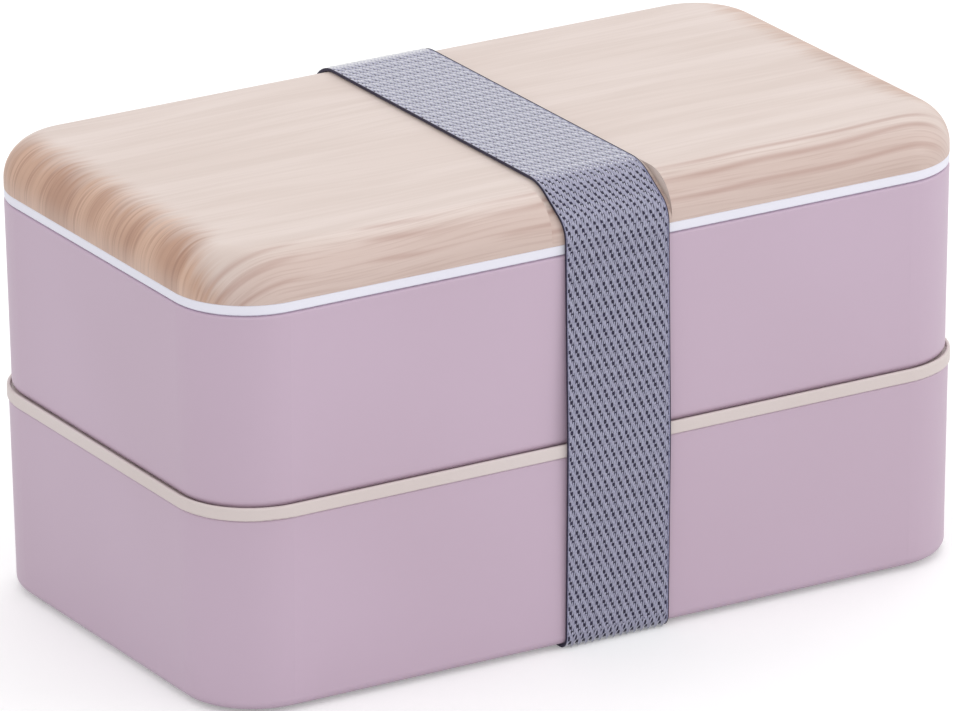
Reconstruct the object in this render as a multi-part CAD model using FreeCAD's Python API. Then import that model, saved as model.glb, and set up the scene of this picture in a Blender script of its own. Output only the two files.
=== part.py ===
import FreeCAD, Part
import math
import os

from FreeCAD import Vector

# Two-tier bento lunch box, in millimetres, +Z up. The origin is on the table under the middle of the box:
# +X runs along the box, -Y is the front, and the elastic band is the lowest piece.
# Every moulded piece is one outline carried round the same rounded rectangle. An outline is drawn by its
# distance out from the corner centres ("out") and its height, so all the pieces nest at one even clearance.

# Plan of the widest outline, which is the middle lid's rim
RIM_LENGTH = 186.0
RIM_WIDTH = 104.5
CORNER_RADIUS = 17.75

# Fits
SLIDING_GAP = 0.3       # between pieces that lift off or slide past each other
SNAP_GAP = 0.2          # between the lid cover and the spigot that it snaps over
SEAL_GAP = 0.15         # between a gasket's bead and the wall that it wipes
BAND_GAP = 0.1          # between the band and the edges that it is pulled over

# The two food boxes, which come from one mould
BOX_HEIGHT = 42.3
BOX_RIM_INSET = 0.4     # box rim inside the middle lid's rim
BOX_DRAFT = 0.7         # how much narrower each side is at the base than at the rim
BOX_WALL = 2.0
BOX_FLOOR = 2.0
BASE_RADIUS = 2.0
INNER_RADIUS = 3.0
RIM_ROUND = 0.6
FOOT_RECESS = 0.8       # hollow under the floor, inside the foot ring
FOOT_RING = 6.0         # width of the foot ring

# Plug and gasket, the same under both lids
PLUG_CLEARANCE = 0.9
PLUG_DEPTH = 6.5
PLUG_RING = 4.2
GROOVE_DEPTH = 1.8
GROOVE_HEIGHT = 2.4
GROOVE_DROP = 2.3       # from the seat to the groove's upper face
BEAD_HEIGHT = 1.2
EDGE_ROUND = 0.3

# Middle lid, whose lip stands round the upper box's base
MIDDLE_PANEL_TOP = 2.1
MIDDLE_PANEL = 1.8
MIDDLE_LIP = 0.8
MIDDLE_ROUND = 0.4
LIP_ROUND = 0.25

# Lid base, the white plate that closes the upper box
LID_BASE_INSET = 0.45
LID_BASE_HEIGHT = 2.5
LID_BASE_PANEL = 1.8
REST_WIDTH = 0.85       # of the box rim's outer part that the flange stands clear of
SHADOW_GAP = 0.3        # that it stands clear by
SPIGOT_HEIGHT = 3.5
SPIGOT_WALL = 1.5

# Lid cover with the wood print: a flat top, a rolled edge and a short wall
COVER_INSET = 0.4
COVER_HEIGHT = 10.15
COVER_WALL = 2.0
COVER_ROLL = 8.5

# Sloping seat for the band, cut across the roll of the front edge
SEAT_WIDTH = 29.0
SEAT_OFFSET = 1.4       # along X from the middle of the box
SEAT_REACH = 13.85      # from the cover's wall in to where the seat leaves the flat top
SEAT_FOOT = 0.6         # from the cover's foot up to the centre of the seat's lower round
UPPER_ROUND = 11.0
LOWER_ROUND = 5.0

# Elastic band round the middle of the box, sewn into a loop with a lap at the back
BAND_WIDTH = 25.0
BAND_THICKNESS = 0.9
BAND_OFFSET = 2.2       # along X from the middle of the box, inside the seat
LAP_LENGTH = 14.0
LAP_HEIGHT = 20.0       # of the lap's lower end above the table
PRESSED_ANGLE = 20.0    # of the turn under the base that the box's weight presses flat

# Loose dividers, one in each box
DIVIDER_PLATE = 1.6
DIVIDER_FLANGE = 9.0
DIVIDER_HEADROOM = 1.2      # under the lid's plug
DIP_WIDTH = 34.0
DIP_DEPTH = 5.0
UPPER_DIVIDER_X = -18.0
LOWER_DIVIDER_X = 24.0

# Places worked out from the sizes above
SPINE_X = RIM_LENGTH / 2 - CORNER_RADIUS
SPINE_Y = RIM_WIDTH / 2 - CORNER_RADIUS
BOX_TOP_OUT = CORNER_RADIUS - BOX_RIM_INSET
BOX_BASE_OUT = BOX_TOP_OUT - BOX_DRAFT
BOX_FLOOR_TOP = FOOT_RECESS + BOX_FLOOR
PLUG_OUT = BOX_TOP_OUT - BOX_WALL - PLUG_CLEARANCE
COVER_OUT = CORNER_RADIUS - COVER_INSET
LOWER_BASE_Z = BAND_THICKNESS + BAND_GAP
LOWER_RIM_Z = LOWER_BASE_Z + BOX_HEIGHT
UPPER_BASE_Z = LOWER_RIM_Z + MIDDLE_PANEL_TOP
UPPER_RIM_Z = UPPER_BASE_Z + BOX_HEIGHT
COVER_Z = UPPER_RIM_Z + LID_BASE_HEIGHT
TOP_Z = COVER_Z + COVER_HEIGHT

ORIGIN = Vector(0, 0, 0)
UP = Vector(0, 0, 1)


def point(out, height):
    """Point of an outline, in the XZ plane."""
    return Vector(out, 0, height)


def rounded_wire(corners):
    """Closed wire through corners (out, height, radius), each rounded by its own radius."""
    count = len(corners)
    starts, arcs, ends = [], [], []
    for i, (out, height, radius) in enumerate(corners):
        corner = point(out, height)
        before = (point(*corners[i - 1][:2]) - corner).normalize()
        after = (point(*corners[(i + 1) % count][:2]) - corner).normalize()
        if radius == 0:
            starts.append(corner)
            arcs.append(None)
            ends.append(corner)
            continue
        half = before.getAngle(after) / 2
        middle = (before + after).normalize()
        start = corner + before * (radius / math.tan(half))
        end = corner + after * (radius / math.tan(half))
        crest = corner + middle * (radius / math.sin(half) - radius)
        starts.append(start)
        arcs.append(Part.Arc(start, crest, end).toShape())
        ends.append(end)
    edges = []
    for i in range(count):
        if arcs[i]:
            edges.append(arcs[i])
        if (starts[(i + 1) % count] - ends[i]).Length > 1e-6:
            edges.append(Part.LineSegment(ends[i], starts[(i + 1) % count]).toShape())
    return Part.Wire(Part.__sortEdges__(edges))


def carried_round(face, slab=None):
    """Solid of an outline carried round the rounded rectangle, with a slab (low, high) across the middle."""
    pieces = []
    corners = ((1, 1), (-1, 1), (-1, -1), (1, -1))
    for turn, (along, across) in enumerate(corners):
        turned = face.copy()
        turned.rotate(ORIGIN, UP, 90 * turn)
        centre = Vector(along * SPINE_X, across * SPINE_Y, 0)
        corner = turned.revolve(ORIGIN, UP, 90)
        corner.translate(centre)
        before = corners[turn - 1]
        run = centre - Vector(before[0] * SPINE_X, before[1] * SPINE_Y, 0)
        side = turned.extrude(run)
        side.translate(centre - run)
        pieces += [corner, side]
    if slab:
        low, high = slab
        corner = Vector(-SPINE_X, -SPINE_Y, low)
        pieces.append(Part.makeBox(2 * SPINE_X, 2 * SPINE_Y, high - low, corner))
    return pieces[0].multiFuse(pieces[1:]).removeSplitter().Solids[0]


def moulded(corners, height, slab=None):
    """Piece with this outline, its own zero height set at a height above the table."""
    piece = carried_round(Part.Face(rounded_wire(corners)), slab)
    piece.translate(UP * height)
    return piece


def food_box(base):
    """Food box with drafted walls, standing on a foot ring round a shallow hollow."""
    inner_base = BOX_BASE_OUT - BOX_WALL + BOX_DRAFT * BOX_FLOOR_TOP / BOX_HEIGHT
    foot_inner = BOX_BASE_OUT - BASE_RADIUS - FOOT_RING
    outline = [
        (0, FOOT_RECESS, 0),
        (foot_inner, FOOT_RECESS, 0),
        (foot_inner, 0, FOOT_RECESS / 3),
        (BOX_BASE_OUT, 0, BASE_RADIUS),
        (BOX_TOP_OUT, BOX_HEIGHT, RIM_ROUND),
        (BOX_TOP_OUT - BOX_WALL, BOX_HEIGHT, RIM_ROUND),
        (inner_base, BOX_FLOOR_TOP, INNER_RADIUS),
        (0, BOX_FLOOR_TOP, 0),
    ]
    return moulded(outline, base, (FOOT_RECESS, BOX_FLOOR_TOP))


def plug_outline():
    """Outline of the plug under a lid, from its inner face to the seat, with the gasket's groove."""
    groove_top = -GROOVE_DROP
    groove_low = groove_top - GROOVE_HEIGHT
    return [
        (PLUG_OUT - PLUG_RING, -PLUG_DEPTH, EDGE_ROUND),
        (PLUG_OUT, -PLUG_DEPTH, EDGE_ROUND),
        (PLUG_OUT, groove_low, 0),
        (PLUG_OUT - GROOVE_DEPTH, groove_low, 0),
        (PLUG_OUT - GROOVE_DEPTH, groove_top, 0),
        (PLUG_OUT, groove_top, 0),
        (PLUG_OUT, 0, 0),
    ]


def gasket(seat):
    """Silicone ring that fills the plug's groove and wipes the box's wall with a rounded bead."""
    groove_top = -GROOVE_DROP
    groove_low = groove_top - GROOVE_HEIGHT
    bead_low = groove_low + (GROOVE_HEIGHT - BEAD_HEIGHT) / 2
    wall_out = BOX_TOP_OUT - BOX_WALL + BOX_DRAFT * bead_low / BOX_HEIGHT
    bead_out = wall_out - SEAL_GAP
    outline = [
        (PLUG_OUT - GROOVE_DEPTH, groove_low, 0),
        (PLUG_OUT, groove_low, 0),
        (bead_out, bead_low, BEAD_HEIGHT / 4),
        (bead_out, bead_low + BEAD_HEIGHT, BEAD_HEIGHT / 4),
        (PLUG_OUT, groove_top, 0),
        (PLUG_OUT - GROOVE_DEPTH, groove_top, 0),
    ]
    return moulded(outline, seat)


def middle_lid():
    """Cream lid of the lower box: a rim that shows, a plug below and a lip round the upper box's base."""
    panel_low = MIDDLE_PANEL_TOP - MIDDLE_PANEL
    lip_inner = BOX_BASE_OUT + SLIDING_GAP
    lip_top = MIDDLE_PANEL_TOP + MIDDLE_LIP
    outline = [
        (0, panel_low, 0),
        (PLUG_OUT - PLUG_RING, panel_low, 0),
        *plug_outline(),
        (CORNER_RADIUS, 0, MIDDLE_ROUND),
        (CORNER_RADIUS, lip_top, MIDDLE_ROUND),
        (lip_inner, lip_top, LIP_ROUND),
        (lip_inner, MIDDLE_PANEL_TOP, 0),
        (0, MIDDLE_PANEL_TOP, 0),
    ]
    return moulded(outline, LOWER_RIM_Z, (panel_low, MIDDLE_PANEL_TOP))


def lid_base():
    """White plate of the upper lid: a plug below, a flange that shows, and a spigot for the cover above."""
    panel_low = LID_BASE_HEIGHT - LID_BASE_PANEL
    flange_out = CORNER_RADIUS - LID_BASE_INSET
    spigot_out = COVER_OUT - COVER_WALL - SNAP_GAP
    spigot_top = LID_BASE_HEIGHT + SPIGOT_HEIGHT
    rest_out = BOX_TOP_OUT - REST_WIDTH
    outline = [
        (0, panel_low, 0),
        (PLUG_OUT - PLUG_RING, panel_low, 0),
        *plug_outline(),
        (rest_out, 0, 0),
        (rest_out, SHADOW_GAP, 0),
        (flange_out, SHADOW_GAP, EDGE_ROUND),
        (flange_out, LID_BASE_HEIGHT, EDGE_ROUND),
        (spigot_out, LID_BASE_HEIGHT, 0),
        (spigot_out, spigot_top, EDGE_ROUND),
        (spigot_out - SPIGOT_WALL, spigot_top, EDGE_ROUND),
        (spigot_out - SPIGOT_WALL, LID_BASE_HEIGHT, 0),
        (0, LID_BASE_HEIGHT, 0),
    ]
    plate = moulded(outline, UPPER_RIM_Z, (panel_low, LID_BASE_HEIGHT))
    return plate.cut(beyond_seat(COVER_WALL + SNAP_GAP)).Solids[0]


def on_circle(circle, degrees):
    """Point of a circle (out, height, radius) at an angle above the outward direction."""
    out, height, radius = circle
    angle = math.radians(degrees)
    return point(out + radius * math.cos(angle), height + radius * math.sin(angle))


def arc(circle, first, last):
    """Arc of a circle (out, height, radius) between two angles."""
    middle = (first + last) / 2
    return Part.Arc(on_circle(circle, first), on_circle(circle, middle), on_circle(circle, last)).toShape()


def closed_face(edges, *points):
    """Face of a run of edges, closed by straight lines through more points."""
    ends = [edges[-1].Vertexes[-1].Point, *points, edges[0].Vertexes[0].Point]
    lines = [Part.LineSegment(a, b).toShape() for a, b in zip(ends, ends[1:])]
    return Part.Face(Part.Wire(Part.__sortEdges__(edges + lines)))


def cover_face(inside):
    """Face under the cover's rolled edge, set inside by a wall thickness."""
    wall_out, top = COVER_OUT - inside, COVER_HEIGHT - inside
    out, height, radius = cover_roll()
    roll = (out, height, radius - inside)
    wall = Part.LineSegment(point(wall_out, 0), on_circle(roll, 0)).toShape()
    return closed_face([wall, arc(roll, 0, 90)], point(0, top), point(0, 0))


def cover_roll():
    """Circle (out, height above the cover's foot, radius) of the cover's rolled edge."""
    return COVER_OUT - COVER_ROLL, COVER_HEIGHT - COVER_ROLL, COVER_ROLL


def seat_circles():
    """Circles (out, height above the cover's foot, radius) that round the seat's upper and lower end."""
    return ((COVER_OUT - SEAT_REACH, COVER_HEIGHT - UPPER_ROUND, UPPER_ROUND),
            (COVER_OUT - LOWER_ROUND, SEAT_FOOT, LOWER_ROUND))


def beyond_seat(inside=0):
    """What the seat in the cover's front edge takes away, or with a wall thickness what lies beyond it."""
    upper, lower = [(out, height, radius - inside) for out, height, radius in seat_circles()]
    slope = tangent_angle(upper, lower)
    floor = Part.LineSegment(on_circle(upper, slope), on_circle(lower, slope)).toShape()
    beyond, above = COVER_OUT + COVER_ROLL, COVER_HEIGHT + COVER_ROLL
    start = on_circle(upper, 90)
    edges = [arc(upper, 90, slope), floor, arc(lower, slope, 0)]
    face = closed_face(edges, point(COVER_OUT - inside, 0), point(beyond, 0), point(beyond, above),
                       point(start.x, above))
    width = SEAT_WIDTH + 2 * inside
    cut = face.extrude(Vector(0, width, 0))
    cut.translate(Vector(SPINE_Y, SEAT_OFFSET - width / 2, COVER_Z))
    cut.rotate(ORIGIN, UP, -90)
    return cut


def lid_cover():
    """Hollow lid cover with a rolled edge, which keeps its wall thickness under the band's seat."""
    block = carried_round(cover_face(0), (0, COVER_HEIGHT))
    hollow = carried_round(cover_face(COVER_WALL), (0, COVER_HEIGHT - COVER_WALL))
    for piece in (block, hollow):
        piece.translate(UP * COVER_Z)
    return block.cut(beyond_seat()).cut(hollow.cut(beyond_seat(COVER_WALL))).Solids[0]


def held_circles(on_cover):
    """Circles (out from the middle, height, radius) of the edges that can hold the band, from the top."""
    lid_base_out = CORNER_RADIUS - LID_BASE_INSET
    lip_top = UPPER_BASE_Z + MIDDLE_LIP
    found = [(out, COVER_Z + height, radius) for out, height, radius in on_cover]
    found += [
        (lid_base_out - EDGE_ROUND, COVER_Z - EDGE_ROUND, EDGE_ROUND),
        (BOX_TOP_OUT - RIM_ROUND, UPPER_RIM_Z - RIM_ROUND, RIM_ROUND),
        (CORNER_RADIUS - MIDDLE_ROUND, lip_top - MIDDLE_ROUND, MIDDLE_ROUND),
        (CORNER_RADIUS - MIDDLE_ROUND, LOWER_RIM_Z + MIDDLE_ROUND, MIDDLE_ROUND),
        (BOX_TOP_OUT - RIM_ROUND, LOWER_RIM_Z - RIM_ROUND, RIM_ROUND),
        (BOX_BASE_OUT - BASE_RADIUS, LOWER_BASE_Z + BASE_RADIUS, BASE_RADIUS),
    ]
    return [(SPINE_Y + out, height, radius) for out, height, radius in found]


def tangent_angle(upper, lower):
    """Angle of the outward normal of the straight line that touches two circles on their outer side."""
    run_out, run_down = lower[0] - upper[0], upper[1] - lower[1]
    length = math.hypot(run_out, run_down)
    square = math.degrees(math.atan2(run_out, run_down))
    return square + math.degrees(math.asin((lower[2] - upper[2]) / length))


def taut_side(on_cover, growth):
    """One side of a taut loop over the held edges, from the top to the bottom, standing off by a growth."""
    circles = [(out, height, radius + growth) for out, height, radius in held_circles(on_cover)]
    edges, at, angle = [], 0, 90
    while at < len(circles) - 1:
        angles = [tangent_angle(circles[at], c) for c in circles[at + 1:]]
        turn = max(angles)
        following = at + 1 + angles.index(turn)
        edges.append(arc(circles[at], angle, turn))
        leave, meet = on_circle(circles[at], turn), on_circle(circles[following], turn)
        if (meet - leave).Length > 1e-6:
            edges.append(Part.LineSegment(leave, meet).toShape())
        at, angle = following, turn
    pressed, foot = on_circle(circles[-1], PRESSED_ANGLE - 90), on_circle(circles[-1], -90)
    edges.append(arc(circles[-1], angle, PRESSED_ANGLE - 90))
    edges.append(Part.LineSegment(pressed, foot).toShape())
    return edges, on_circle(circles[0], 90), foot


def taut_face(growth):
    """Section of what the taut loop encloses: over the plain roll at the back, over the seat at the front."""
    edges, top, bottom = taut_side([cover_roll()], growth)
    front, front_top, front_bottom = taut_side(seat_circles(), growth)
    edges += [edge.mirror(ORIGIN, Vector(1, 0, 0)) for edge in front]
    for end, other in ((top, front_top), (bottom, front_bottom)):
        edges.append(Part.LineSegment(end, point(-other.x, other.z)).toShape())
    return Part.Face(Part.Wire(Part.__sortEdges__(edges)))


def elastic_band():
    """Woven elastic loop, taut round the held edges, with its sewn lap on the back of the lower box."""
    inner = taut_face(BAND_GAP)
    outer = taut_face(BAND_GAP + BAND_THICKNESS)
    lapped = taut_face(BAND_GAP + 2 * BAND_THICKNESS)
    across = Vector(0, BAND_WIDTH, 0)
    loop = outer.cut(inner).Faces[0].extrude(across)
    reach = RIM_WIDTH
    window = Part.makeBox(reach, BAND_WIDTH, LAP_LENGTH, Vector(0, 0, LAP_HEIGHT))
    lap = lapped.cut(outer).extrude(across).common(window)
    band = loop.fuse(lap).removeSplitter().Solids[0]
    band.translate(Vector(0, -BAND_WIDTH / 2 - BAND_OFFSET, 0))
    band.rotate(ORIGIN, UP, 90)
    return band


def divider(base, along):
    """Loose divider across a box: a thin plate in a wider flange, with a finger dip in its top edge."""
    low = BOX_FLOOR_TOP + SLIDING_GAP
    high = BOX_HEIGHT - PLUG_DEPTH - DIVIDER_HEADROOM
    inner_base = SPINE_Y + BOX_BASE_OUT - BOX_WALL - SLIDING_GAP
    half_low = inner_base + BOX_DRAFT * low / BOX_HEIGHT
    half_high = inner_base + BOX_DRAFT * high / BOX_HEIGHT
    flange = DIVIDER_PLATE
    foot = INNER_RADIUS
    outline = Part.Face(rounded_wire([
        (-half_low, low, foot),
        (half_low, low, foot),
        (half_high, high, flange / 2),
        (-half_high, high, flange / 2),
    ]))
    field = Part.Face(rounded_wire([
        (-half_low + flange, low + flange, foot - flange),
        (half_low - flange, low + flange, foot - flange),
        (half_high - flange, high + flange, 0),
        (-half_high + flange, high + flange, 0),
    ]))
    plate = outline.extrude(Vector(0, DIVIDER_PLATE, 0))
    plate.translate(Vector(0, -DIVIDER_PLATE / 2, 0))
    rim = outline.cut(field).extrude(Vector(0, DIVIDER_FLANGE, 0))
    rim.translate(Vector(0, -DIVIDER_FLANGE / 2, 0))
    dip_radius = (DIP_WIDTH ** 2 / 4 + DIP_DEPTH ** 2) / (2 * DIP_DEPTH)
    dip_centre = Vector(0, -DIVIDER_PLATE / 2, high - DIP_DEPTH + dip_radius)
    dip = Part.makeCylinder(dip_radius, DIVIDER_PLATE, dip_centre, Vector(0, 1, 0))
    piece = plate.cut(dip).fuse(rim).removeSplitter().Solids[0]
    piece.rotate(ORIGIN, UP, 90)
    piece.translate(Vector(along, 0, base))
    return piece


def main():
    pieces = {
        "lower_box": food_box(LOWER_BASE_Z),
        "lower_divider": divider(LOWER_BASE_Z, LOWER_DIVIDER_X),
        "middle_lid": middle_lid(),
        "middle_gasket": gasket(LOWER_RIM_Z),
        "upper_box": food_box(UPPER_BASE_Z),
        "upper_divider": divider(UPPER_BASE_Z, UPPER_DIVIDER_X),
        "lid_base": lid_base(),
        "lid_gasket": gasket(UPPER_RIM_Z),
        "lid_cover": lid_cover(),
        "elastic_band": elastic_band(),
    }
    os.makedirs("parts", exist_ok=True)
    for name, piece in pieces.items():
        box = piece.BoundBox
        print(f"{name}: valid {piece.isValid()}, {piece.Volume / 1000:.2f} cm3, "
              f"X {box.XMin:.2f} {box.XMax:.2f}, Y {box.YMin:.2f} {box.YMax:.2f}, "
              f"Z {box.ZMin:.2f} {box.ZMax:.2f}")
        piece.exportStep(os.path.join("parts", f"{name}.step"))


main()
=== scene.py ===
"""Finishes of a two-tier bento lunch box, in metres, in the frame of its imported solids."""
import math

import bpy
from mathutils import Matrix, Vector


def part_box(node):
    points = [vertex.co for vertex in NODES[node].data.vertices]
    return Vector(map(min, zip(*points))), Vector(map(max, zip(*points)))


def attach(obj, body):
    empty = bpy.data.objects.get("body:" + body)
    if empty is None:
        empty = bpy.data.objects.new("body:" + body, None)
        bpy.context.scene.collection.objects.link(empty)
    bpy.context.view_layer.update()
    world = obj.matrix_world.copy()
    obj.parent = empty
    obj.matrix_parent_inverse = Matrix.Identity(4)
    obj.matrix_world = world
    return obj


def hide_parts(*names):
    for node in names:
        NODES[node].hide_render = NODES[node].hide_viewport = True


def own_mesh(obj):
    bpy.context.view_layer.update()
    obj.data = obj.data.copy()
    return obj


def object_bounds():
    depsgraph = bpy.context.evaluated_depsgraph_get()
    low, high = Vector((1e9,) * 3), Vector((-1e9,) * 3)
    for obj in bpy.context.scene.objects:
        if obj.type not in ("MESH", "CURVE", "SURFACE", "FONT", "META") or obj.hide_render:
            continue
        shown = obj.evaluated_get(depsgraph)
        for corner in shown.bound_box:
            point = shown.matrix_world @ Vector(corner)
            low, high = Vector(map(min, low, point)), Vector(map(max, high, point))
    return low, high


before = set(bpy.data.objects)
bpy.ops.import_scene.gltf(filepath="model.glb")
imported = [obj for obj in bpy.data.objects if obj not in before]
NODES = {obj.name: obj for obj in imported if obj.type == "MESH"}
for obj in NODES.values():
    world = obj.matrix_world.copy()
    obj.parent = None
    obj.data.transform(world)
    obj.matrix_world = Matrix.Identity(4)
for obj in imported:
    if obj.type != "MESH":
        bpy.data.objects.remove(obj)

CAD_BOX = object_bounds()
MM = 0.001

# Turn between faces from which their edge stays sharp in smooth shading
SHARP_ANGLE = math.radians(40)

# Plan and levels, read from the solids
RIM_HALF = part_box("middle_lid")[1]
CORNER_RADIUS = 17.75 * MM
SPINE_X = RIM_HALF.x - CORNER_RADIUS
SPINE_Y = RIM_HALF.y - CORNER_RADIUS
LOWER_BASE_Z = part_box("lower_box")[0].z
LOWER_RIM_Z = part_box("lower_box")[1].z
COVER_LOW, COVER_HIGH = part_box("lid_cover")
COVER_OUT = COVER_HIGH.y - SPINE_Y
COVER_HEIGHT = COVER_HIGH.z - COVER_LOW.z

# Section of the lid cover, and the band's seat in its front edge
COVER_WALL = 2.0 * MM
COVER_ROLL = 8.5 * MM
SEAT_WIDTH = 29.0 * MM
SEAT_OFFSET = 1.4 * MM
SEAT_REACH = 13.85 * MM
SEAT_FOOT = 0.6 * MM
UPPER_ROUND = 11.0 * MM
LOWER_ROUND = 5.0 * MM
SECTION_STEPS = 28

# Rounded edges below the cover that hold the band, and how far the box's base lies inside the middle lid's rim
EDGE_ROUND = 0.3 * MM
MIDDLE_ROUND = 0.4 * MM
BASE_RADIUS = 2.0 * MM
BASE_INSET = 1.1 * MM

# Elastic band: a core with floats on it, a cord along each edge, and a lap at the back
BAND_LOW, BAND_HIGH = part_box("elastic_band")
BAND_WIDTH = BAND_HIGH.x - BAND_LOW.x
BAND_MIDDLE = (BAND_HIGH.x + BAND_LOW.x) / 2
BAND_GAP = 0.1 * MM
BAND_THICKNESS = 0.9 * MM
FLOAT_HEIGHT = 0.42 * MM
FLOAT_MARGIN = 0.3 * MM
CORE_TOP = BAND_THICKNESS - FLOAT_HEIGHT * 0.9
# The core's edges rise in a thin wall up to near the band's top, so the band's sides show the dark core: partly the
# core's own colour, partly painted shade along the band's sides.
EDGE_NIP = 0.2 * MM
EDGE_WALL = 0.05 * MM
EDGE_TOP = BAND_THICKNESS - 0.1 * MM
CORD = 0.17 * MM
CORD_SIDES = 8
PATH_SPACING = 0.6 * MM
LAP_LOW = 20 * MM
LAP_LENGTH = 14 * MM
LAP_RAMP = 4 * MM

# Weave of the band: how far apart the warp ends lie, how long one repeat of the twill is, and its steps in a repeat
END_PITCH = 0.425 * MM
TWILL_REPEAT = 3.37 * MM
TWILL_STEPS = 4

# Seams of the lap, set in from its ends and from the band's edges
STITCH_PITCH = 0.9 * MM
STITCH_SIDES = 6
SEAM_WIDTH = 2.2 * MM
SEAM_INSET = 2.6 * MM
SEAM_MARGIN = 1.3 * MM
THREAD = 0.14 * MM

# Sizes in the finishes: clouds and texture of moulded plastic, slubs and fibres of yarn
CLOUD_SIZE = 60 * MM
TEXTURE_SIZE = 0.25 * MM
TEXTURE_DEPTH = 0.004 * MM
SLUB_SIZE = 0.5 * MM
FIBRE_SIZE = 0.09 * MM
FIBRE_DEPTH = 0.03 * MM

# Dark lines of the grain along the lid's front and back: where across, how far each sways, and how wide, in mm
GRAIN_LINES = ((-45.5, 5, 1.1), (-49.0, 7, 1.3), (-53.5, 5, 1.0), (47, 6, 1.2), (52, 6, 1.3))

# Greys of the floor as it lights the box and as it is seen, its glow where it is seen, and the surround's light
FLOOR_REACH = 6.0
FLOOR_GREY = (0.7, 0.7, 0.7, 1)
FLOOR_SEEN = (0.86, 0.86, 0.86, 1)
FLOOR_GLOW = 0.25
SURROUND_LIGHT = 0.92
PURE_WHITE = (1, 1, 1, 1)


def linear(red, green, blue):
    """Colour from 0 to 255 as shown, for a shader's socket."""
    shown = [value / 255 for value in (red, green, blue)]
    return [v / 12.92 if v <= 0.04045 else ((v + 0.055) / 1.055) ** 2.4 for v in shown] + [1.0]


# Tones of the wood print: its pale middle, its brown ends, and the long edges of the middle
PALE_WOOD, PALE_PATCH, PALE_STREAK = linear(224, 208, 201), linear(219, 202, 194), linear(211, 193, 184)
BROWN_WOOD, BROWN_PATCH = linear(212, 175, 152), linear(186, 145, 122)
BROWN_STREAK, BROWN_HAIR = linear(154, 114, 96), linear(146, 102, 84)
EDGE_WOOD, EDGE_LINE, EDGE_HAIR = linear(205, 178, 168), linear(170, 130, 118), linear(168, 132, 120)


# Node helpers

def put(socket, value):
    """Links a socket, or sets a plain value."""
    if isinstance(value, bpy.types.NodeSocket):
        socket.id_data.links.new(value, socket)
    else:
        socket.default_value = value


def add(tree, kind, values=None, **settings):
    """New node, with its settings and its input values by name or number."""
    made = tree.nodes.new(kind)
    for name, value in settings.items():
        setattr(made, name, value)
    for key, value in (values or {}).items():
        put(made.inputs[key], value)
    return made


def calc(tree, operation, *values):
    """Result of a Math node."""
    return add(tree, "ShaderNodeMath", dict(enumerate(values)), operation=operation).outputs[0]


def blend_colours(tree, factor, first, second):
    """Result of mixing two colours."""
    return add(tree, "ShaderNodeMix", {0: factor, 6: first, 7: second}, data_type="RGBA").outputs[2]


def ramp(tree, factor, low, high):
    """0 below low, 1 above high, smooth between them."""
    values = {0: factor, 1: low, 2: high}
    return add(tree, "ShaderNodeMapRange", values, interpolation_type="SMOOTHSTEP").outputs[0]


def noise(tree, where, size, detail=2.0, rough=0.5):
    """Noise from 0 to 1 whose features have about this size along each axis, in metres."""
    stretch = [1 / s for s in size]
    mapped = add(tree, "ShaderNodeVectorMath", {0: where, 1: stretch}, operation="MULTIPLY").outputs[0]
    values = {"Vector": mapped, "Scale": 1.0, "Detail": detail, "Roughness": rough}
    return add(tree, "ShaderNodeTexNoise", values).outputs[0]


def centred_noise(tree, where, size, detail=2.0):
    """Noise from -0.5 to 0.5."""
    return calc(tree, "SUBTRACT", noise(tree, where, size, detail), 0.5)


def raise_surface(tree, shader, height, depth, strength):
    """Bumps of a height from 0 to 1 in a shader's surface."""
    bump = add(tree, "ShaderNodeBump", {"Height": height, "Distance": depth, "Strength": strength})
    put(shader.inputs["Normal"], bump.outputs[0])


def new_material(name):
    """Empty material with a Principled shader on its output, as (material, tree, shader)."""
    made = bpy.data.materials.new(name)
    made.use_nodes = True
    tree = made.node_tree
    tree.nodes.clear()
    shader = add(tree, "ShaderNodeBsdfPrincipled")
    add(tree, "ShaderNodeOutputMaterial", {"Surface": shader.outputs[0]})
    return made, tree, shader


def noise_group(name, *parts):
    """Shared group of noises: for each part a size as its input, and the noise of that size as its output."""
    group = bpy.data.node_groups.new(name, "ShaderNodeTree")
    for part, _ in parts:
        group.interface.new_socket(part + " Size", in_out="INPUT", socket_type="NodeSocketFloat")
        group.interface.new_socket(part, in_out="OUTPUT", socket_type="NodeSocketFloat")
    sizes = add(group, "NodeGroupInput").outputs
    where = add(group, "ShaderNodeTexCoord").outputs["Object"]
    results = {}
    for k, (_, detail) in enumerate(parts):
        scale = calc(group, "DIVIDE", 1.0, sizes[k])
        scaled = add(group, "ShaderNodeVectorMath", {0: where, 3: scale}, operation="SCALE").outputs[0]
        values = {"Vector": scaled, "Scale": 1.0, "Detail": detail}
        results[k] = add(group, "ShaderNodeTexNoise", values).outputs[0]
    add(group, "NodeGroupOutput", results)
    return group


# Slow cloudiness and spark-eroded texture of moulded plastic, and the uneven thickness and fibres of yarn
MOULDED_SKIN = noise_group("moulded_skin", ("Cloud", 1.0), ("Texture", 2.0))
SPUN_YARN = noise_group("spun_yarn", ("Slub", 2.0), ("Fibre", 2.0))


def plastic(name, light, dark, roughness, spread):
    """Satin moulded plastic between two close tones."""
    made, tree, shader = new_material(name)
    sizes = {0: CLOUD_SIZE, 1: TEXTURE_SIZE}
    cloud, texture = add(tree, "ShaderNodeGroup", sizes, node_tree=MOULDED_SKIN).outputs
    put(shader.inputs["Base Color"], blend_colours(tree, ramp(tree, cloud, 0.3, 0.7), light, dark))
    put(shader.inputs["Roughness"], calc(tree, "MULTIPLY_ADD", texture, spread, roughness - spread / 2))
    raise_surface(tree, shader, texture, TEXTURE_DEPTH, 0.5)
    return made


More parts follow.
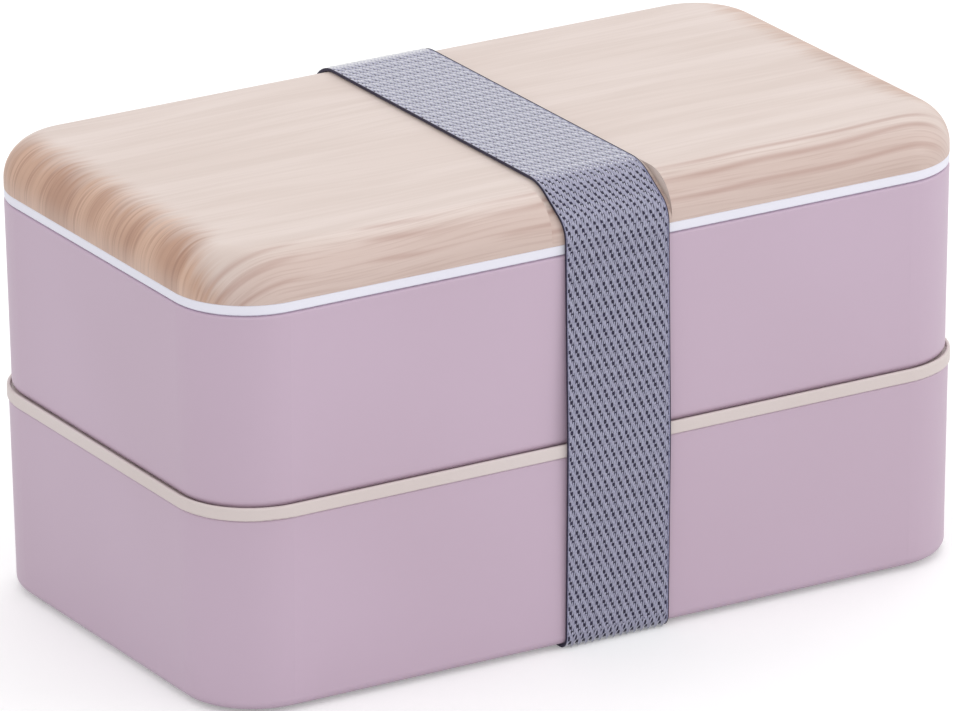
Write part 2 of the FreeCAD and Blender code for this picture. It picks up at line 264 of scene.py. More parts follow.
def grain_line(tree, along, across, middle, sway, width):
    """Soft dark line of the grain near a distance across, which sways along its length."""
    spot = add(tree, "ShaderNodeCombineXYZ", {0: along, 1: middle}).outputs[0]
    bend = centred_noise(tree, spot, (52 * MM, 1, 1), 1.0)
    centre = calc(tree, "MULTIPLY_ADD", bend, sway, middle)
    apart = calc(tree, "ABSOLUTE", calc(tree, "SUBTRACT", across, centre))
    here = ramp(tree, noise(tree, spot, (40 * MM, 0.5, 1), 1.0), 0.38, 0.55)
    return calc(tree, "MULTIPLY", here, calc(tree, "SUBTRACT", 1.0, ramp(tree, apart, 0.0, width)))


def pale_middle(tree, grain_at, along, across, streak, hair):
    """Pale wood of the lid's top, a little darker on its long edges, with dark lines and fine hairs there."""
    patch = ramp(tree, noise(tree, grain_at, (80 * MM, 22 * MM, 1), 1.0), 0.35, 0.7)
    pale = blend_colours(tree, patch, PALE_WOOD, PALE_PATCH)
    top = blend_colours(tree, calc(tree, "MULTIPLY", streak, 0.65), pale, PALE_STREAK)
    aside = calc(tree, "ABSOLUTE", across)
    side = ramp(tree, aside, SPINE_Y + 11 * MM, SPINE_Y + 17 * MM)
    edge = blend_colours(tree, calc(tree, "MULTIPLY", side, 0.55), top, EDGE_WOOD)
    lines = 0.0
    for middle, sway, width in GRAIN_LINES:
        line = grain_line(tree, along, across, middle * MM, sway * MM, width * MM)
        lines = calc(tree, "MAXIMUM", lines, line)
    edge = blend_colours(tree, calc(tree, "MULTIPLY", lines, 0.5), edge, EDGE_LINE)
    rolled = ramp(tree, aside, SPINE_Y + 6 * MM, SPINE_Y + 13 * MM)
    hairs = calc(tree, "MULTIPLY", calc(tree, "MULTIPLY", hair, rolled), 0.2)
    return blend_colours(tree, hairs, edge, EDGE_HAIR)


def brown_ends(tree, grain_at, streak, hair):
    """Brown wood of the lid's ends, with broad patches, streaks and fine hairs."""
    patch = ramp(tree, noise(tree, grain_at, (30 * MM, 13 * MM, 1), 1.0), 0.35, 0.65)
    brown = blend_colours(tree, patch, BROWN_WOOD, BROWN_PATCH)
    brown = blend_colours(tree, calc(tree, "MULTIPLY", streak, 0.3), brown, BROWN_STREAK)
    return blend_colours(tree, calc(tree, "MULTIPLY", hair, 0.38), brown, BROWN_HAIR)


def share_of_ends(tree, grain_at, along, across):
    """1 on the brown ends and 0 on the pale middle, with a feathered border that draws back round the front. Near the
    foot of the ends the brown thins out, a painted light thrown up by the white rim below.
    """
    away = calc(tree, "ABSOLUTE", along)
    feather = centred_noise(tree, grain_at, (14 * MM, 5 * MM, 1))
    wisp = centred_noise(tree, grain_at, (20 * MM, 1.3 * MM, 1))
    round_front = calc(tree, "MAXIMUM", calc(tree, "SUBTRACT", 4 * MM - SPINE_Y, across), 0.0)
    reach = away
    for part, amount in ((feather, 5 * MM), (wisp, 9 * MM), (round_front, -0.48)):
        reach = calc(tree, "MULTIPLY_ADD", part, amount, reach)
    end = ramp(tree, reach, SPINE_X + 4 * MM, SPINE_X + 16 * MM)
    # Painted light: less brown near the foot of the ends, where the white rim below throws light up.
    foot = ramp(tree, away, SPINE_X + 18 * MM, SPINE_X + 25 * MM)
    return calc(tree, "MULTIPLY", end, calc(tree, "MULTIPLY_ADD", foot, -0.35, 1.0))


def wood_print():
    """Pale wood print with brown ends, whose grain runs along the lid and is drawn down over its edges."""
    made, tree, shader = new_material("wood_print")
    film = add(tree, "ShaderNodeAttribute", attribute_name="film").outputs["Vector"]
    along, across, _ = add(tree, "ShaderNodeSeparateXYZ", {0: film}).outputs
    drift = centred_noise(tree, film, (90 * MM, 40 * MM, 1), 1.0)
    shifted = calc(tree, "MULTIPLY_ADD", drift, 9 * MM, across)
    grain_at = add(tree, "ShaderNodeCombineXYZ", {0: along, 1: shifted}).outputs[0]
    broad = noise(tree, grain_at, (60 * MM, 5 * MM, 1))
    fine = noise(tree, grain_at, (28 * MM, 1.1 * MM, 1))
    streak = ramp(tree, calc(tree, "MULTIPLY_ADD", fine, 0.35, calc(tree, "MULTIPLY", broad, 0.65)), 0.36, 0.64)
    hair = ramp(tree, noise(tree, grain_at, (26 * MM, 0.7 * MM, 1), rough=0.6), 0.47, 0.64)
    pale = pale_middle(tree, grain_at, along, across, streak, hair)
    brown = brown_ends(tree, grain_at, streak, hair)
    ends = share_of_ends(tree, grain_at, along, across)
    put(shader.inputs["Base Color"], blend_colours(tree, ends, pale, brown))
    put(shader.inputs["Roughness"], calc(tree, "MULTIPLY_ADD", fine, 0.12, 0.36))
    raise_surface(tree, shader, fine, 0.02 * MM, 0.3)
    return made


def yarn(name, light, dark, painted_sheen, fuzz):
    """Textured polyester yarn with slubs, whose fuzz catches the light where it is seen edge on: a painted sheen turns
    its colour toward a pale tone there, besides the shader's own sheen.
    """
    made, tree, shader = new_material(name)
    slub, fibre = add(tree, "ShaderNodeGroup", {0: SLUB_SIZE, 1: FIBRE_SIZE}, node_tree=SPUN_YARN).outputs
    body = blend_colours(tree, ramp(tree, slub, 0.35, 0.65), light, dark)
    edge_on = add(tree, "ShaderNodeLayerWeight", {"Blend": 0.5}).outputs["Facing"]
    # Painted sheen: the colour turns toward the sheen tone where the yarn is seen edge on.
    put(shader.inputs["Base Color"], blend_colours(tree, ramp(tree, edge_on, 0.3, 0.85), body, painted_sheen))
    put(shader.inputs["Roughness"], calc(tree, "MULTIPLY_ADD", fibre, 0.25, 0.6))
    put(shader.inputs["Sheen Weight"], fuzz)
    put(shader.inputs["Sheen Roughness"], 0.5)
    raise_surface(tree, shader, fibre, FIBRE_DEPTH, 0.6)
    return made


def woven_back(name, light, dull, dark):
    """Flat inner face of the band: warp ends side by side, each diving into a dark dot once in a repeat, with painted
    shade in the grooves between the ends.
    """
    made, tree, shader = new_material(name)
    strip = add(tree, "ShaderNodeAttribute", attribute_name="strip").outputs["Vector"]
    across, along, _ = add(tree, "ShaderNodeSeparateXYZ", {0: strip}).outputs
    ends = calc(tree, "DIVIDE", across, END_PITCH)
    beside = calc(tree, "ABSOLUTE", calc(tree, "SUBTRACT", calc(tree, "FRACT", ends), 0.5))
    step = calc(tree, "DIVIDE", calc(tree, "FLOORED_MODULO", calc(tree, "FLOOR", ends), TWILL_STEPS), TWILL_STEPS)
    place = calc(tree, "FRACT", calc(tree, "ADD", calc(tree, "DIVIDE", along, TWILL_REPEAT), step))
    dive = ramp(tree, calc(tree, "ABSOLUTE", calc(tree, "SUBTRACT", place, 0.5)), 0.38, 0.46)
    # Dark dots where the ends dive, and painted shade in the grooves between the ends.
    dives_and_groove_shade = calc(tree, "MAXIMUM", dive, calc(tree, "MULTIPLY", ramp(tree, beside, 0.3, 0.5), 0.5))
    slub = ramp(tree, noise(tree, strip, (0.6 * MM, 2 * MM, 1), 2.0), 0.3, 0.7)
    tone = blend_colours(tree, slub, light, dull)
    put(shader.inputs["Base Color"], blend_colours(tree, dives_and_groove_shade, tone, dark))
    put(shader.inputs["Roughness"], calc(tree, "MULTIPLY_ADD", slub, 0.15, 0.7))
    raise_surface(tree, shader, calc(tree, "SUBTRACT", 1.0, dives_and_groove_shade), 0.1 * MM, 1.0)
    return made


# Meshes

def new_piece(name, points, faces, material=None):
    """Mesh object at the origin."""
    mesh = bpy.data.meshes.new(name)
    mesh.from_pydata(points, [], faces)
    if material:
        mesh.materials.append(material)
    piece = bpy.data.objects.new(name, mesh)
    bpy.context.scene.collection.objects.link(piece)
    return piece


def smooth(piece):
    """Smooth shading, with the sharp edges kept."""
    piece.data.shade_smooth()
    piece.data.set_sharp_from_angle(angle=SHARP_ANGLE)


def arc_points(circle, first, last, count, grow=0.0):
    """Points of a circle (out, height, radius) from one angle to another."""
    out, height, radius = circle
    turns = [first + (last - first) * i / count for i in range(count + 1)]
    return [(out + (radius + grow) * math.cos(t), height + (radius + grow) * math.sin(t)) for t in turns]


def roll_circle():
    """Circle (out, height above the cover's foot, radius) of the cover's rolled edge."""
    return COVER_OUT - COVER_ROLL, COVER_HEIGHT - COVER_ROLL, COVER_ROLL


def seat_circles():
    """Circles (out, height above the cover's foot, radius) that round the seat's upper and lower end."""
    return ((COVER_OUT - SEAT_REACH, COVER_HEIGHT - UPPER_ROUND, UPPER_ROUND),
            (COVER_OUT - LOWER_ROUND, SEAT_FOOT, LOWER_ROUND))


def distances(points):
    """How far along a line each of its points lies."""
    reach = [0.0]
    for a, b in zip(points, points[1:]):
        reach.append(reach[-1] + math.dist(a, b))
    return reach


def evenly(points, count):
    """A line of points laid out again at even distances."""
    reach, found, k = distances(points), [], 0
    for i in range(count + 1):
        at = reach[-1] * i / count
        while k < len(points) - 2 and reach[k + 1] < at:
            k += 1
        share = (at - reach[k]) / (reach[k + 1] - reach[k])
        found.append(tuple(a + (b - a) * share for a, b in zip(points[k], points[k + 1])))
    return found


def cover_section(seated, inside=0.0):
    """Points (out, height) of the cover's surface from the edge of its flat top to its foot."""
    foot = [(COVER_OUT - inside, 0.0)]
    if not seated:
        return evenly(arc_points(roll_circle(), math.pi / 2, 0, 60, -inside) + foot, SECTION_STEPS)
    upper, lower = seat_circles()
    run_out, run_down = lower[0] - upper[0], upper[1] - lower[1]
    slope = math.atan2(run_out, run_down) + math.asin((lower[2] - upper[2]) / math.hypot(run_out, run_down))
    points = arc_points(upper, math.pi / 2, slope, 40, -inside)
    return evenly(points + arc_points(lower, slope, 0, 40, -inside) + foot, SECTION_STEPS)


def cover_columns():
    """Stations (centre x, centre y, angle, seat outside, seat inside, print drawn) round the cover, anticlockwise. On
    the seat's end walls the print is not drawn, so they keep the pale tone of the top edge as a painted highlight.
    """
    step = 0.04 * MM
    low, high = SEAT_OFFSET - SEAT_WIDTH / 2, SEAT_OFFSET + SEAT_WIDTH / 2
    third = step / 3
    # The stations whose print is not drawn stand on the seat's end walls: a painted highlight in the pale tone of the
    # top edge.
    runs = [(-SPINE_X, low - COVER_WALL, 11, False, False, True), (low - COVER_WALL + step, low, 2, False, True, True),
            (low + third, low + third, 1, False, True, False), (low + 2 * third, low + 2 * third, 1, True, True, False),
            (low + step, high - step, 7, True, True, True), (high - 2 * third, high - 2 * third, 1, True, True, False),
            (high - third, high - third, 1, False, True, False), (high, high + COVER_WALL - step, 2, False, True, True),
            (high + COVER_WALL, SPINE_X, 11, False, False, True)]
    front = [(first + (last - first) * i / max(count - 1, 1), outside, within, drawn)
             for first, last, count, outside, within, drawn in runs for i in range(count)]
    found = []
    for side in (-1, 1):
        start = side * math.pi / 2
        found += [(x, side * SPINE_Y, start, outside and side < 0, within and side < 0, drawn or side > 0)
                  for x, outside, within, drawn in front[::-side]]
        near = -side * SPINE_X
        turns = [start + math.pi / 2 * i / 18 for i in range(1, 18)]
        found += [(near, side * SPINE_Y, t, False, False, True) for t in turns]
        ends = [side * SPINE_Y * (1 - 2 * i / 8) for i in range(9)]
        found += [(near, y, start + math.pi / 2, False, False, True) for y in ends]
        found += [(near, -side * SPINE_Y, t + math.pi / 2, False, False, True) for t in turns]
    return found


def lid_cover_piece(material):
    """Lid cover as one closed shell, with the print's own coordinates drawn down over its edges."""
    outer = {seated: cover_section(seated) for seated in (False, True)}
    inner = {seated: cover_section(seated, COVER_WALL)[::-1] for seated in (False, True)}
    columns, points, film = cover_columns(), [], []
    for x, y, angle, outside, within, drawn in columns:
        facing = Vector((math.cos(angle), math.sin(angle), 0))
        centre = Vector((x, y, 0))
        before = outer[outside][0]
        reach = before[0]
        for out in outer[outside]:
            # Where the print is not drawn the tone stays that of the top edge: a painted highlight on the seat's end
            # walls.
            reach += math.dist(out, before) * drawn
            before = out
            points.append(centre + facing * out[0] + Vector((0, 0, COVER_LOW.z + out[1])))
            film.append(centre + facing * reach)
        for out in inner[within]:
            points.append(centre + facing * out[0] + Vector((0, 0, COVER_LOW.z + out[1])))
            film.append(centre + facing * out[0])
    rows, count = len(points) // len(columns), len(columns)
    faces = []
    for c in range(count):
        here, there = c * rows, (c + 1) % count * rows
        faces += [(here + r, here + r + 1, there + r + 1, there + r) for r in range(rows - 1)]
    faces.append([c * rows for c in range(count)])
    faces.append([c * rows + rows - 1 for c in reversed(range(count))])
    piece = new_piece("wood_print_cover", points, faces, material)
    attribute = piece.data.attributes.new("film", "FLOAT_VECTOR", "POINT")
    attribute.data.foreach_set("vector", [v for point in film for v in point])
    smooth(piece)
    return piece


# Band path

def held_points(grow):
    """Points (y, z) round the edges that hold the band, standing off them."""
    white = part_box("lid_base")[1].y - SPINE_Y - EDGE_ROUND
    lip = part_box("middle_lid")[1] - Vector((0, SPINE_Y + MIDDLE_ROUND, MIDDLE_ROUND))
    base = CORNER_RADIUS - BASE_INSET - BASE_RADIUS
    shared = [(white, COVER_LOW.z - EDGE_ROUND, EDGE_ROUND), (lip.y, lip.z, MIDDLE_ROUND),
              (lip.y, LOWER_RIM_Z + MIDDLE_ROUND, MIDDLE_ROUND), (base, LOWER_BASE_Z + BASE_RADIUS, BASE_RADIUS)]
    found = []
    for side, on_cover in ((1, [roll_circle()]), (-1, seat_circles())):
        for edge in [(out, COVER_LOW.z + height, radius) for out, height, radius in on_cover] + shared:
            found += [(side * (SPINE_Y + out), z)
                      for out, z in arc_points(edge, math.pi / 2, -math.pi / 2, 90, grow)]
    return found


def convex_loop(points):
    """Corners of the tight loop round points, anticlockwise."""
    ordered = sorted(set(points))
    sides = []
    for run in (ordered, ordered[::-1]):
        side = []
        for p in run:
            while len(side) > 1:
                (ay, az), (by, bz) = side[-2], side[-1]
                if (by - ay) * (p[1] - az) - (bz - az) * (p[0] - ay) > 0:
                    break
                side.pop()
            side.append(p)
        sides.append(side[:-1])
    return sides[0] + sides[1]


def band_path(grow):
    """Centres and outward normals along the strip, from its covered end at the back, once round and over the lap."""
    loop = convex_loop(held_points(grow))
    start = max(range(len(loop)), key=lambda i: loop[i][0] - abs(loop[i][1] - LAP_LOW) * 10)
    loop = loop[start:] + loop[:start + 1]
    reach = distances(loop)
    round_length = reach[-1]
    up_to_lap = LAP_LOW - loop[0][1]
    total = round_length + LAP_LENGTH
    count = round(total / PATH_SPACING)
    path = []
    for i in range(count + 1):
        at = (up_to_lap + total * i / count) % round_length
        segment = max(k for k in range(len(loop) - 1) if reach[k] <= at)
        share = (at - reach[segment]) / max(reach[segment + 1] - reach[segment], 1e-12)
        (ay, az), (by, bz) = loop[segment], loop[segment + 1]
        run = Vector((0, by - ay, bz - az)).normalized()
        out = Vector((0, run.z, -run.y))
        over = (total * i / count - round_length + LAP_RAMP) / LAP_RAMP
        over = min(1.0, max(0.0, over))
        lift = BAND_THICKNESS * over * over * (3 - 2 * over)
        centre = Vector((BAND_MIDDLE, ay + (by - ay) * share, az + (bz - az) * share))
        path.append((centre + out * lift, out))
    return path


def swept(name, path, section, material):
    """Closed strip of a section (across, outward) along a path, capped at its ends."""
    points, faces, size = [], [], len(section)
    for centre, out in path:
        points += [centre + Vector((across, 0, 0)) + out * lift for across, lift in section]
    for i in range(len(path) - 1):
        for k in range(size):
            a, b = i * size + k, i * size + (k + 1) % size
            faces.append((a, b, b + size, a + size))
    last = (len(path) - 1) * size
    faces.append(list(range(size))[::-1])
    faces.append([last + k for k in range(size)])
    piece = new_piece(name, points, faces, material)
    smooth(piece)
    return piece


def laying_tree(name, line, numbers, result):
    """Tree that lays something along a line, with its inputs: the line, the numbers and a seed."""
    tree = bpy.data.node_groups.new(name, "GeometryNodeTree")
    face = tree.interface
    face.new_socket(line, in_out="INPUT", socket_type="NodeSocketGeometry")
    for number in numbers:
        face.new_socket(number, in_out="INPUT", socket_type="NodeSocketFloat")
    face.new_socket("Seed", in_out="INPUT", socket_type="NodeSocketInt")
    face.new_socket(result, in_out="OUTPUT", socket_type="NodeSocketGeometry")
    return tree, add(tree, "NodeGroupInput").outputs[:len(numbers) + 2]


def lay_shapes(tree, points, shape, outward, along, stretch, material):
    """Puts a shape at each point, with its Z outward and its Y along, and gives it out as plain mesh."""
    turned = add(tree, "FunctionNodeAxesToRotation", {0: outward, 1: along}, primary_axis="Z", secondary_axis="Y")
    model = add(tree, "GeometryNodeObjectInfo", {"Object": shape}).outputs["Geometry"]
    values = {"Points": points, "Instance": model, "Rotation": turned.outputs[0], "Scale": stretch}
    laid = add(tree, "GeometryNodeInstanceOnPoints", values).outputs[0]
    real = add(tree, "GeometryNodeRealizeInstances", {0: laid}).outputs[0]
    finished = add(tree, "GeometryNodeSetMaterial", {"Geometry": real, "Material": material}).outputs[0]
    add(tree, "NodeGroupOutput", {0: finished})


def woven_floats_tree(shape, material):
    """Tree that lays the twill's warp floats along a path: one for each end and each repeat."""
    numbers = ("Width", "End Pitch", "Repeat", "Steps", "Open Gap")
    tree, given = laying_tree("woven_floats", "Path", numbers, "Floats")
    path, width, pitch, repeat, steps, gap, seed = given
    length = add(tree, "GeometryNodeCurveLength", {0: path}).outputs[0]
    ends = calc(tree, "FLOOR", calc(tree, "DIVIDE", width, pitch))
    repeats = calc(tree, "FLOOR", calc(tree, "DIVIDE", length, repeat))
    points = add(tree, "GeometryNodePoints", {"Count": calc(tree, "MULTIPLY", ends, repeats)}).outputs[0]
    index = add(tree, "GeometryNodeInputIndex").outputs[0]
    end = calc(tree, "FLOORED_MODULO", index, ends)
    row = calc(tree, "FLOOR", calc(tree, "DIVIDE", calc(tree, "ADD", index, 0.5), ends))
    step = calc(tree, "DIVIDE", calc(tree, "FLOORED_MODULO", end, steps), steps)
    bunched, uneven = 0.87, 0.025
    shifted = calc(tree, "POWER", step, bunched)
    random = add(tree, "FunctionNodeRandomValue", {2: -uneven, 3: uneven, 8: seed}, data_type="FLOAT").outputs[1]
    place = calc(tree, "ADD", calc(tree, "ADD", row, shifted), random)
    travelled = calc(tree, "MULTIPLY", place, repeat)
    sample = add(tree, "GeometryNodeSampleCurve", mode="LENGTH")
    put(sample.inputs["Curves"], path)
    put(sample.inputs["Length"], travelled)
    sideways = add(tree, "ShaderNodeCombineXYZ", {0: 1.0}).outputs[0]
    tangent = sample.outputs["Tangent"]
    outward = add(tree, "ShaderNodeVectorMath", {0: tangent, 1: sideways}, operation="CROSS_PRODUCT").outputs[0]
    across = calc(tree, "SUBTRACT", calc(tree, "MULTIPLY", calc(tree, "ADD", end, 0.5), pitch),
                  calc(tree, "MULTIPLY", calc(tree, "MULTIPLY", ends, pitch), 0.5))
    shift = add(tree, "ShaderNodeCombineXYZ", {0: across}).outputs[0]
    position = add(tree, "ShaderNodeVectorMath", {0: sample.outputs["Position"], 1: shift}, operation="ADD").outputs[0]
    placed = add(tree, "GeometryNodeSetPosition", {"Geometry": points, "Position": position}).outputs[0]
    closed = ramp(tree, step, 0.28, 0.78)
    open_share = calc(tree, "SUBTRACT", calc(tree, "ADD", 1.0, random), calc(tree, "MULTIPLY", closed, 1.6))
    shrink = calc(tree, "MULTIPLY", gap, open_share)
    rise = calc(tree, "MULTIPLY_ADD", closed, 0.3, 0.7)
    stretch = add(tree, "ShaderNodeCombineXYZ", {0: 1.0, 1: calc(tree, "SUBTRACT", 1.0, shrink), 2: rise}).outputs[0]
    lay_shapes(tree, placed, shape, outward, tangent, stretch, material)
    return tree


def float_shape():
    """One warp float lying along Y, a repeat long: it dives at both ends and bends away from its neighbours' dives."""
    half_rings = ((0.0, 1.0, 1.0, 0.0), (0.26, 0.9, 0.87, 0.3), (0.45, 0.85, 0.45, 0.05), (0.5, 0.6, -0.4, 0.0))
    rings = [(-along, wide, high, bend) for along, wide, high, bend in half_rings[:0:-1]]
    rings += [(along, wide, high, -bend) for along, wide, high, bend in half_rings]
    points, faces = [], []
    for along, wide, high, bend in rings:
        half, foot, middle = END_PITCH / 2 * wide, -0.1 * FLOAT_HEIGHT, END_PITCH * bend
        for x, z in ((middle - half, foot), (middle, FLOAT_HEIGHT * high), (middle + half, foot)):
            points.append((x, along * TWILL_REPEAT, z))
    for r in range(len(rings) - 1):
        faces += [(r * 3 + k, r * 3 + k + 1, r * 3 + k + 4, r * 3 + k + 3) for k in range(2)]
    shape = new_piece("float_shape", points, faces)
    shape.data.shade_smooth()
    return shape


def plain_mesh(piece, name):
    """Mesh of a piece as its modifiers leave it, in a new object; the old one is removed."""
    bpy.context.view_layer.update()
    evaluated = piece.evaluated_get(bpy.context.evaluated_depsgraph_get())
    mesh = bpy.data.meshes.new_from_object(evaluated)
    bpy.data.objects.remove(piece)
    made = bpy.data.objects.new(name, mesh)
    mesh.name = name
    bpy.context.scene.collection.objects.link(made)
    return made


def laid_along(name, lines, tree, sizes):
    """What a tree lays along lines of points, as one plain mesh."""
    curve = bpy.data.curves.new(name, "CURVE")
    curve.dimensions = "3D"
    for line in lines:
        spline = curve.splines.new("POLY")
        spline.points.add(len(line) - 1)
        for spot, at in zip(spline.points, line):
            spot.co = (*at, 1)
    carrier = bpy.data.objects.new(name, curve)
    bpy.context.scene.collection.objects.link(carrier)
    modifier = carrier.modifiers.new(name, "NODES")
    modifier.node_group = tree
    for item in tree.interface.items_tree:
        if item.name in sizes:
            modifier[item.identifier] = sizes[item.name]
    return plain_mesh(carrier, name)


def woven_floats(path, material):
    """Warp floats over the whole outer face of the band."""
    shape = float_shape()
    sizes = {"Width": BAND_WIDTH - 2 * FLOAT_MARGIN, "End Pitch": END_PITCH, "Repeat": TWILL_REPEAT,
             "Steps": float(TWILL_STEPS), "Open Gap": 0.2, "Seed": 7}
    tree = woven_floats_tree(shape, material)
    made = laid_along("band_floats", [[centre for centre, _ in path]], tree, sizes)
    bpy.data.objects.remove(shape)
    return made


def seam_stitches_tree(shape, material):
    """Tree that lays a zigzag of stitches along seams that run across the back of the band."""
    tree, given = laying_tree("seam_stitches", "Seams", ("Pitch", "Slant", "Unevenness"), "Stitches")
    seams, pitch, slant, uneven, seed = given
    spread = add(tree, "GeometryNodeCurveToPoints", {"Curve": seams, "Length": pitch}, mode="LENGTH").outputs[0]
    index = add(tree, "GeometryNodeInputIndex").outputs[0]
    turn = calc(tree, "MULTIPLY_ADD", calc(tree, "FLOORED_MODULO", index, 2.0), 2.0, -1.0)
    random = add(tree, "FunctionNodeRandomValue", {2: -1.0, 3: 1.0, 8: seed}, data_type="FLOAT").outputs[1]
    lean = calc(tree, "MULTIPLY", turn, calc(tree, "MULTIPLY_ADD", random, uneven, slant))
    along = add(tree, "ShaderNodeCombineXYZ", {0: lean, 2: 1.0}).outputs[0]
    outward = add(tree, "ShaderNodeCombineXYZ", {1: 1.0}).outputs[0]
    lay_shapes(tree, spread, shape, outward, along, (1.0, 1.0, 1.0), material)
    return tree


def stitch_shape():
    """One stitch lying along Y, which dives into the band at both ends."""
    length, sides = math.hypot(STITCH_PITCH, SEAM_WIDTH), STITCH_SIDES
    rings = ((-0.5, 0.6, -1.8), (-0.36, 0.95, -0.2), (0.0, 1.0, 0.2), (0.36, 0.95, -0.2), (0.5, 0.6, -1.8))
    points, faces = [], []
    for along, wide, high in rings:
        for t in (math.tau * k / sides for k in range(sides)):
            points.append((THREAD * wide * math.cos(t), along * length, THREAD * (high + wide * math.sin(t))))
    for r in range(len(rings) - 1):
        for k in range(sides):
            a, b = r * sides + k, r * sides + (k + 1) % sides
            faces.append((a, a + sides, b + sides, b))
    last = len(points) - sides
    faces += [list(range(sides)), [last + k for k in reversed(range(sides))]]
    shape = new_piece("stitch_shape", points, faces)
    shape.data.shade_smooth()
    return shape


def lap_seams(path, material):
    """Two zigzag seams across the lap, near its ends."""
    half = BAND_WIDTH / 2 - SEAM_MARGIN
    seams = []
    for back in (SEAM_INSET, LAP_LENGTH - SEAM_INSET):
        centre, out = path[-1 - round(back / PATH_SPACING)]
        middle = centre + out * (FLOAT_HEIGHT + 0.6 * THREAD)
        seams.append([middle + Vector((across, 0, 0)) for across in (-half, half)])
    shape = stitch_shape()
    sizes = {"Pitch": STITCH_PITCH, "Slant": STITCH_PITCH / SEAM_WIDTH, "Unevenness": 0.04, "Seed": 3}
    made = laid_along("band_stitches", seams, seam_stitches_tree(shape, material), sizes)
    bpy.data.objects.remove(shape)
    return made


def elastic_band(web, back, floats, selvedge, thread):
    """Band of a dark woven core, floats on its outer face, a corded selvedge along each edge and the lap's seams."""
    half = BAND_WIDTH / 2
    within, flat = half - EDGE_WALL, half - EDGE_NIP
    # The raised edge walls give the band's sides the dark core's tone, partly painted shade.
    section = [(-half, EDGE_NIP), (-flat, 0), (flat, 0), (half, EDGE_NIP), (half, EDGE_TOP), (within, EDGE_TOP),
               (within, CORE_TOP), (-within, CORE_TOP), (-within, EDGE_TOP), (-half, EDGE_TOP)]
    inner_path = band_path(BAND_GAP)
    core = swept("band_core", inner_path, section, web)
    core.data.materials.append(back)
    for row in range(len(inner_path) - 1):
        core.data.polygons[row * len(section) + 1].material_index = 1
    strip = core.data.attributes.new("strip", "FLOAT_VECTOR", "POINT")
    for i, spot in enumerate(strip.data):
        row, k = divmod(i, len(section))
        spot.vector = (section[k][0], row * PATH_SPACING, 0)
    outer_path = [(centre + out * CORE_TOP, out) for centre, out in inner_path]
    laid = woven_floats(outer_path, floats)
    cords = []
    for side, name in ((-1, "band_selvedge_left"), (1, "band_selvedge_right")):
        ring = [(side * (within - CORD) + CORD * math.cos(t), CORD * (0.1 + math.sin(t)))
                for t in (math.tau * k / CORD_SIDES for k in range(CORD_SIDES))]
        cords.append(swept(name, outer_path, ring, selvedge))
    length = sum((b[0] - a[0]).length for a, b in zip(inner_path, inner_path[1:]))
    return core, [laid, *cords, lap_seams(outer_path, thread)], length


# Stage

def camera():
    """Camera at the photographed angle: a long lens in front of the left end, looking a little down."""
    turn, tilt, roll = math.radians(-30.579), math.radians(20.111), math.radians(-0.529)
    pixels_per_metre, focal_pixels, frame_width = 4712.55, 10507.2, 953
    shift_right, shift_up = 3.726, 19.836
    back = Vector((math.sin(turn) * math.cos(tilt), -math.cos(turn) * math.cos(tilt), math.sin(tilt)))
    right = Vector((math.cos(turn), math.sin(turn), 0))
    up = back.cross(right)
    right, up = (right * math.cos(roll) + up * math.sin(roll), up * math.cos(roll) - right * math.sin(roll))
    eye = Vector((0, 0, LOWER_RIM_Z)) + back * (focal_pixels / pixels_per_metre)
    eye += up * (shift_up / pixels_per_metre) - right * (shift_right / pixels_per_metre)
    data = bpy.data.cameras.new("camera")
    data.sensor_width = 36
    data.lens = focal_pixels * data.sensor_width / frame_width
    data.clip_end = 50
    made = bpy.data.objects.new("camera", data)
    made.matrix_world = Matrix.Translation(eye) @ Matrix((right, up, back)).transposed().to_4x4()
    bpy.context.scene.collection.objects.link(made)
    bpy.context.scene.camera = made


def lamp(name, at, size, power):
    """Square soft lamp that faces the middle of the box."""
    data = bpy.data.lights.new(name, "AREA")
    data.energy = power
    data.size = size
    made = bpy.data.objects.new(name, data)
    made.location = at
    aim = Vector((0, 0, CAD_BOX[1].z / 2)) - made.location
    made.rotation_mode = "QUATERNION"
    made.rotation_quaternion = aim.to_track_quat("-Z", "Y")
    bpy.context.scene.collection.objects.link(made)


def backdrop_rays(tree):
    """1 for the camera's own rays, and 1 for all rays that show the backdrop, by way of gloss and glass too."""
    light = add(tree, "ShaderNodeLightPath").outputs
    through = calc(tree, "MAXIMUM", light["Is Glossy Ray"], light["Is Transmission Ray"])
    return light["Is Camera Ray"], calc(tree, "MAXIMUM", light["Is Camera Ray"], through)


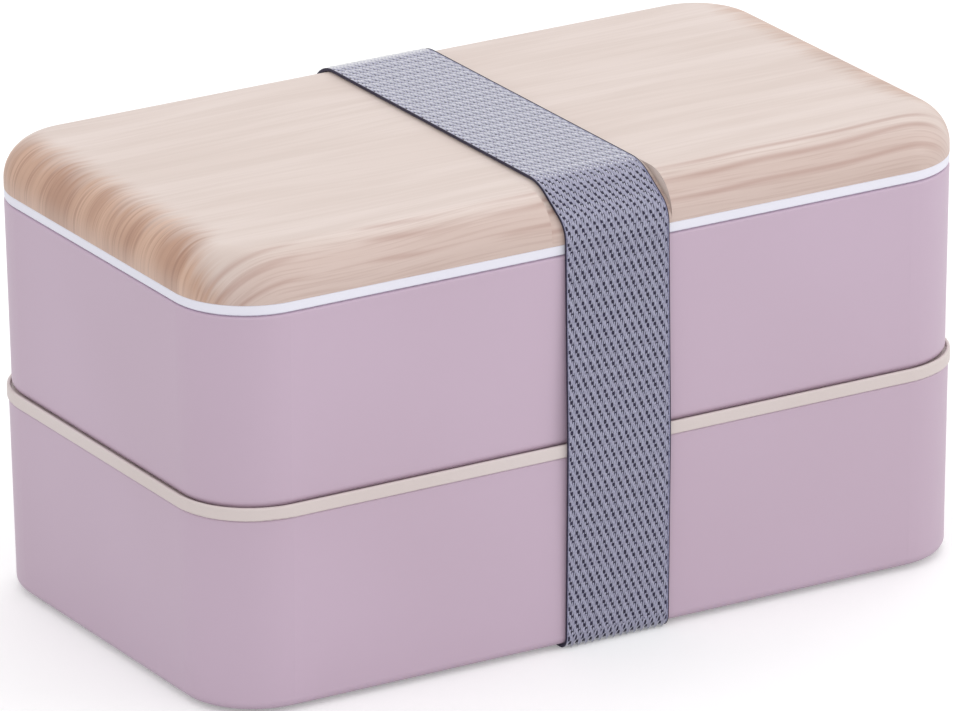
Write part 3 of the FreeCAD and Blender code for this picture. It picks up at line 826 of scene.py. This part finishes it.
def studio():
    """Plain pale floor and an even white surround, with soft lamps to the right, the near corner and the back."""
    scene = bpy.context.scene
    scene.view_settings.view_transform = "Standard"
    world = bpy.data.worlds.new("surround")
    world.use_nodes = True
    scene.world = world
    tree = world.node_tree
    tree.nodes.clear()
    _, seen = backdrop_rays(tree)
    strength = calc(tree, "MULTIPLY_ADD", seen, 1 - SURROUND_LIGHT, SURROUND_LIGHT)
    light = add(tree, "ShaderNodeBackground", {"Color": PURE_WHITE, "Strength": strength})
    add(tree, "ShaderNodeOutputWorld", {0: light.outputs[0]})
    corners = [(x * FLOOR_REACH, y * FLOOR_REACH, 0) for x, y in ((-1, -1), (1, -1), (1, 1), (-1, 1))]
    made, tree, shader = new_material("floor")
    straight, seen = backdrop_rays(tree)
    put(shader.inputs["Base Color"], blend_colours(tree, straight, FLOOR_GREY, FLOOR_SEEN))
    put(shader.inputs["Roughness"], 0.9)
    put(shader.inputs["Emission Color"], PURE_WHITE)
    put(shader.inputs["Emission Strength"], calc(tree, "MULTIPLY", seen, FLOOR_GLOW))
    floor = new_piece("floor", corners, [(0, 1, 2, 3)], made)
    lamp("lamp_right", (1.5, -1.1, 0.6), 1.0, 6.0)
    lamp("lamp_corner", (-1.2, -1.5, 0.7), 0.8, 2.3)
    lamp("lamp_back", (0.8, 0.7, 1.4), 1.0, 3.0)


# The finished box

def dress(node, material):
    """Gives a solid's object its finish."""
    slots = NODES[node].data.materials
    slots.clear()
    slots.append(material)


MAUVE = plastic("mauve_plastic", linear(201, 178, 197), linear(197, 174, 192), 0.42, 0.06)
CREAM = plastic("cream_plastic", linear(222, 210, 208), linear(217, 204, 201), 0.45, 0.06)
WHITE = plastic("white_plastic", linear(238, 237, 248), linear(234, 233, 245), 0.4, 0.06)
SILICONE = plastic("silicone", linear(232, 230, 230), linear(225, 223, 224), 0.62, 0.1)
WOOD = wood_print()
# The third tone of each yarn is its painted sheen, shown where the yarn is seen edge on.
WEB = yarn("band_core_yarn", linear(38, 32, 64), linear(28, 22, 48), linear(44, 36, 60), 0.05)
FLOATS = yarn("band_float_yarn", linear(186, 185, 208), linear(164, 163, 188), linear(250, 250, 255), 0.6)
SELVEDGE = yarn("band_selvedge_yarn", linear(158, 157, 186), linear(122, 121, 154), linear(196, 196, 216), 0.4)
THREAD_YARN = yarn("seam_thread", linear(206, 205, 222), linear(190, 189, 208), linear(238, 238, 248), 0.3)
BACK = woven_back("band_back_yarn", linear(172, 171, 194), linear(150, 149, 174), linear(58, 52, 84))

for box_part in ("lower_box", "upper_box", "lower_divider", "upper_divider"):
    dress(box_part, MAUVE)
dress("middle_lid", CREAM)
dress("lid_base", WHITE)
for ring in ("middle_gasket", "lid_gasket"):
    dress(ring, SILICONE)

cover = lid_cover_piece(WOOD)
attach(cover, "lid")
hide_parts("lid_cover")

band_core, band_yarns, strip_length = elastic_band(WEB, BACK, FLOATS, SELVEDGE, THREAD_YARN)
for strand in (band_core, *band_yarns):
    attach(strand, "band")
    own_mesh(strand)
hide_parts("elastic_band")

camera()
studio()
